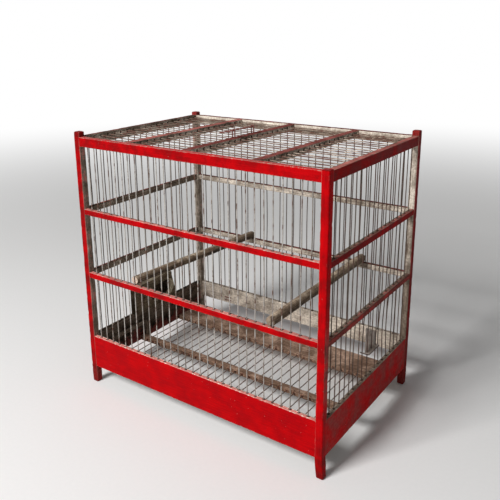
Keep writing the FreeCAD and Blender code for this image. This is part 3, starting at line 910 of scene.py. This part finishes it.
def make_wall_wires():
    """The upright wires of the four walls."""
    levels = [(low.z + high.z) / 2 for low, high in middle_rails]
    for side, axis in wall_axis.items():
        rng = random.Random(side + " wires")
        run = (ALONG_X, ALONG_Y)[axis]
        paths = []
        for number, place in enumerate(wire_places[axis], 1):
            bottom = board_top - wire_bite
            sway = wall_sway
            lean = right_lean_shares.get(number, 0) * end_pitch if side == "right" else 0
            if side == "left" and panel_low.y < place < panel_high.y:
                bottom = panel_edge(place) - wire_bite
            if side == "right" and abs(place - gate_wire_place) < end_pitch * 3 / 2:
                sway = wall_sway / 5
                if abs(place - gate_wire_place) < end_pitch / 2:
                    bottom = gate_low.z - wire_radius * 2
            spot = (wire_lines[side], place) if axis else (place, wire_lines[side])
            marks = [Vector((*spot, height))
                     for height in (bottom, *levels, top_rail_bottom + wire_bite)]
            paths.append(bowed(marks, run * sway, outward[side] * wall_lift, rng, run * lean))
        # Walls other than the front get the darker wire copy: painted shade.
        add_wire_bars(side, paths, rng, front_wire if side == "front" else shaded_wire)


def make_roof_wires():
    """The wires along the roof, held in the end rails and the three bars."""
    rng = random.Random("roof wires")
    bars = [slanted(name) for name in bar_top_tones]
    paths = []
    for place in roof_wire_places:
        reaches = [left_inside - wire_bite]
        for start, end, half_out, _ in bars:
            share = (place - start.y) / (end.y - start.y)
            middle = start.x + (end.x - start.x) * share
            reaches += [middle - half_out, middle + half_out]
        reaches.append(right_inside + wire_bite)
        paths.append(bowed([Vector((x, place, roof_wire_height)) for x in reaches],
                           ALONG_Y * level_sway, ALONG_Z * level_lift, rng))
    add_wire_bars("roof", paths, rng, roof_wire)


def make_floor_wires():
    """The floor grate's wires, through the floor rail to the plank."""
    rng = random.Random("floor wires")
    low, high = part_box("floor_wires")
    rail_low, rail_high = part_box("floor_rail")
    reaches = (low.y - wire_bite, rail_low.y, rail_high.y, high.y + wire_bite)
    paths = [bowed([Vector((place, y, floor_wire_height)) for y in reaches],
                   ALONG_X * level_sway, ALONG_Z * level_lift, rng)
             for place in front_wire_places]
    add_wire_bars("floor", paths, rng, floor_wire)


make_wall_wires()
make_roof_wires()
make_floor_wires()


# Perches

perch_sides = 32
perch_step = 4.0 * MM
perch_cap_shares = (0.85, 0.68, 0.5, 0.3, 0.12)
perch_rim_share = 0.94
perch_wobble = 0.35 * MM
perch_wobble_turns = 26
perch_seed_range = 50
end_shading = 0.6
notch_half_width = 1.7 * MM
notch_depth = 3.0 * MM


def make_perch(name, notched, fresh, thicker=0.0):
    """A stick laid across the lower rails, its ends cut upright."""
    node = "perch_" + name
    low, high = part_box(node)
    radius = (high.z - low.z) / 2 + thicker
    start, end = [Vector((sum(width_at(node, y, 2 * MM)) / 2, y, low.z + radius))
                  for y in (low.y, high.y)]
    count = math.ceil((end.y - start.y) / perch_step)
    seed = random.Random(node).random() * perch_seed_range
    wire = min(front_wire_places, key=lambda place: abs(place - start.x))
    rings = [(0.0, share) for share in reversed(perch_cap_shares)]
    rings += [(n / count, 1.0) for n in range(count + 1)]
    rings += [(1.0, share) for share in perch_cap_shares]
    knots = []
    for share, size in rings:
        center = start.lerp(end, share)
        for cosine, sine in circle(perch_sides):
            way = Vector((cosine, 0, sine))
            key = Vector((center.y * perch_wobble_turns + seed, way.x * 0.8, way.z * 0.8))
            wide = radius - perch_wobble + noise.noise(key) * perch_wobble * 2
            rim = perch_rim_share if size == 1.0 and share in (0.0, 1.0) else 1.0
            spot = center + way * (min(wide, radius) * size * rim)
            if notched and share == 0.0 and abs(spot.x - wire) < notch_half_width:
                spot.y += notch_depth
            # The upper value pales the stick's top as painted light, less on the end caps.
            upper = max(0.0, way.z) * (1.0 if size == 1.0 else end_shading)
            knots.append((spot, upper, fresh if size < 1.0 and share == 0.0 else 0.0))
    points, uppers, cuts = zip(*knots)
    faces = ring_faces(len(rings), perch_sides)
    steps = [max((points[n] - points[n + perch_sides]).length, MM)
             for n in range(0, len(points) - perch_sides, perch_sides)]
    around = 2 * math.pi * radius / perch_sides
    turns = ring_turns([0.0, *accumulate(steps)], [n * around for n in range(perch_sides + 1)])
    turns += [(points[n].x, points[n].z) for n in flat(faces[-2:])]
    mesh = make_mesh(node + "_stick", points, faces, turns, upper=uppers, cut=cuts)
    add_piece(node + "_stick", mesh, perch_wood, name + "_perch", [node])


make_perch("left", False, 0.9)
make_perch("right", True, 0.15, 0.6 * MM)


# Feeder panel with its chewed hole

rim_steps = 40
rim_start = 0.4 * MM
rim_chewed = 2.2 * MM
rim_wobble = 0.6 * MM
rim_depth = 5.0 * MM
chewed_side = Vector((0.8, 0.6))
panel_ease = 0.8 * MM
# Face tones, lighter towards the top, stand in for sunlit and shaded patches: painted light. The
# near end edge's tone of 0.0 makes it black as painted shade.
panel_face_tones = (0.36, 0.26, 0.46, 0.44)
panel_edge_tones = (0.2, 0.2, 0.66, 0.0)


def hole_rim(chewed):
    """Points round the feed hole, in Y and Z, opened out where birds chewed the wood."""
    hole = [point for point in panel_points if panel_low.z + MM < point.z < panel_high.z - MM]
    bottom, top = min(point.z for point in hole), max(point.z for point in hole)
    radius = (top - bottom) / 2
    back = max(point.y for point in hole) - radius
    front = min(point.y for point in hole) + radius
    rim = []
    for way in map(Vector, circle(rim_steps, 1 / 2)):
        toward = max(0.0, way.dot(chewed_side))
        grown = radius + chewed * (rim_start + rim_chewed * toward ** 2)
        grown += noise.noise(Vector((way.x * 3, way.y * 3, 5.0 + chewed))) * rim_wobble
        rim.append(((back if way.x > 0 else front) + way.x * grown, bottom + radius + way.y * grown))
    return rim


def make_feeder_panel():
    """The board inside the left wall, with a long hole whose rim is worn away."""
    outline = [(panel_low.y, panel_low.z), (panel_high.y, panel_low.z),
               (panel_top_back, panel_high.z), (panel_low.y, panel_high.z)]
    middle = box_middle("feeder_panel")
    eased = [(y + math.copysign(panel_ease, middle.y - y),
              z + math.copysign(panel_ease, middle.z - z)) for y, z in outline]
    points, faces, tones = [], [], []

    def add_ring(ring, x, ring_tones):
        first = len(points)
        points.extend(Vector((x, y, z)) for y, z in ring)
        tones.extend(ring_tones)
        return list(range(first, first + len(ring)))

    def add_face(x, shape, rim, flip):
        rim = rim[::-1]
        loops = [[Vector((y, z, 0)) for y, z in ring] for ring in (shape, rim)]
        ids = add_ring(shape, x, panel_face_tones)
        ids += add_ring(rim, x, panel_face_tones[:1] * rim_steps)
        for triangle in tessellate_polygon(loops):
            corner = tuple(ids[n] for n in triangle)
            a, b, c = (points[n] for n in corner)
            facing = (b - a).cross(c - a).x > 0
            faces.append(corner if facing != flip else corner[::-1])

    def add_wall(near, far):
        for n in range(len(near[0])):
            after = (n + 1) % len(near[0])
            first, second = [add_ring([ring[n], ring[after]], x, [ring_tones[n]] * 2)
                             for ring, x, ring_tones in (near, far)]
            faces.append((first[0], second[0], second[1], first[1]))

    inner_x, outer_x = panel_high.x, panel_low.x
    # The hole's wall is pale near the inner face, partly chewed wood and partly painted sunlight,
    # and dark deeper in as painted shade.
    rims = [(hole_rim(chewed), x, [tone] * rim_steps) for chewed, x, tone in (
        (1.0, inner_x, 1.0), (0.4, inner_x - rim_depth, 0.85), (0.0, outer_x, 0.1))]
    edges = [(ring, x, panel_edge_tones) for ring, x in (
        (eased, inner_x), (outline, inner_x - panel_ease), (outline, outer_x))]
    add_face(inner_x, eased, rims[0][0], False)
    add_face(outer_x, outline, rims[2][0], True)
    for near, far in [*zip(edges, edges[1:]), *zip(rims[1:], rims)]:
        add_wall(near, far)
    turns = [(points[n].y, points[n].z + points[n].x) for n in flat(faces)]
    mesh = make_mesh("feeder_panel_board", points, faces, turns, 0.5, tone=tones)
    add_piece("feeder_panel_board", mesh, dark_wood, "cage", ["feeder_panel"])


make_feeder_panel()


# Bail, eyes and staples, bent from round wire

bend_steps = 6
eye_radius = 0.9 * MM
eye_crown = 2.1 * MM
bail_radius = 1.15 * MM
bail_inner_run = 4.0 * MM
bail_bends = (2.5 * MM, 4.0 * MM, 2.5 * MM)
staple_place_share = 0.17
staple_height_shares = (0.17, 0.35)
staple_half_length = 8.0 * MM
staple_radius = 0.9 * MM
staple_depth = 3.0 * MM
staple_tilt = 0.8 * MM


def rounded(corners, radii):
    """A path through corners, each rounded to its radius."""
    path = [corners[0]]
    for before, corner, after, radius in zip(corners, corners[1:], corners[2:], radii):
        arriving = (corner - before).normalized()
        leaving = (after - corner).normalized()
        turn = arriving.angle(leaving)
        cut = radius * math.tan(turn / 2)
        center = corner + (leaving - arriving).normalized() * (radius / math.cos(turn / 2))
        axis = arriving.cross(leaving).normalized()
        first = corner - arriving * cut - center
        for n in range(bend_steps + 1):
            path.append(center + Matrix.Rotation(turn * n / bend_steps, 3, axis) @ first)
    path.append(corners[-1])
    return path


def bail_corner(hub, crown, half_width):
    """Where the bail's two legs would meet if its tip, the crown, weren't rounded."""
    shown = full = (crown - hub).length
    for _ in range(bend_steps):
        full = shown + bail_bends[1] * (1 / math.sin(math.atan2(half_width, full)) - 1)
    return hub + (crown - hub).normalized() * full


def make_bail():
    """Two tall wire eyes on the center bar and the bail that swings in them."""
    low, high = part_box("bail_eyes")
    pivot = (low.x + high.x) / 2
    half = (high.x - low.x) / 2 - eye_radius
    crown = high.z - eye_radius
    eye_places = (low.y + eye_radius, high.y - eye_radius)
    left, right = pivot - half, pivot + half
    bends = ((left, low.z), (left, crown), (right, crown), (right, low.z))
    paths = [rounded([Vector((x, y, z)) for x, z in bends], (eye_crown,) * 2) for y in eye_places]
    rng = random.Random("bail")
    add_wires("bail_eye_wires", paths, eye_radius, rng, rusty_wire, ["bail_eyes"])
    low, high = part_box("hanging_bail")
    stub = [point.z for point in node_points("hanging_bail") if point.y < low.y + MM]
    height = (min(stub) + max(stub)) / 2
    hub = Vector((pivot, (low.y + high.y) / 2, height))
    tip = bail_corner(hub, Vector((low.x + bail_radius, hub.y, low.z + bail_radius)),
                      (eye_places[1] - eye_places[0]) / 2 - bail_inner_run)
    near = [Vector((pivot, y, height)) for y in (low.y, eye_places[0] + bail_inner_run)]
    far = [Vector((pivot, y, height)) for y in (eye_places[1] - bail_inner_run, high.y)]
    add_wires("bail_wire", [rounded([*near, tip, *far], bail_bends)], bail_radius, rng,
              rusty_wire, ["hanging_bail"], "bail")


def make_staples():
    """Two small staples in the slot rail's inner face, near its left end."""
    low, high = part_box("back_slot_rail")
    middle = cage_low.x + (right_inside + post_side - cage_low.x) * staple_place_share
    left, right = middle - staple_half_length, middle + staple_half_length
    front, root = low.y - staple_radius / 2, low.y + staple_depth
    paths = []
    for share in staple_height_shares:
        z = low.z + (high.z - low.z) * share
        bends = ((left, root, z), (left, front, z), (right, front, z + staple_tilt),
                 (right, root, z + staple_tilt))
        paths.append(rounded([Vector(bend) for bend in bends], (staple_radius * 2,) * 2))
    add_wires("slot_rail_staples", paths, staple_radius, random.Random("staples"), rusty_wire)


make_bail()
make_staples()


# CAD pieces that keep their shape and get their finish here

for cad_nodes, cad_material in (
        (("feeder_bottom", "feeder_outer_board", "feeder_lid"), feeder_wood),
        (("feeder_near_cheek", "feeder_far_cheek"), cheek_wood),
        (("feeder_lid_pins",), rusty_wire), (("gate_plate",), tin_plate)):
    for solid in [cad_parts[node] for node in cad_nodes]:
        if not solid.material_slots:
            solid.data.materials.append(cad_material)
        for place in solid.material_slots:
            place.material = cad_material


# Floor and light

key_place = Vector((-0.5, -2.2, 2.0))
key_aim = Vector((0.0, 0.0, 0.2))
key_size = 0.9
key_watts = 86.0
fill_strength = 0.17
floor_sides = 96


def make_stage():
    """A plain pale floor, one soft key light and an even fill from all round."""
    ring = [Vector((*spot, 0)) * floor_radius for spot in circle(floor_sides)]
    floor_mesh = make_mesh("floor", ring, [tuple(range(floor_sides))])
    floor_mesh.materials.append(floor_material())
    add_object("floor", floor_mesh)
    lamp = bpy.data.lights.new("key", "AREA")
    lamp.size = key_size
    lamp.energy = key_watts
    holder = add_object("key", lamp)
    holder.location = key_place
    holder.rotation_euler = (key_aim - key_place).to_track_quat("-Z", "Y").to_euler()
    shade = Shading("world", "worlds")
    bpy.context.scene.world = shade.owner
    sky = shade.tree.nodes["Background"]
    shade.join(shade.seen().span(0.0, 1.0, fill_strength, 1.0), sky.inputs["Strength"])
    shade.join(untinted, sky.inputs["Color"])


make_stage()

bpy.context.scene.view_settings.view_transform = "Standard"
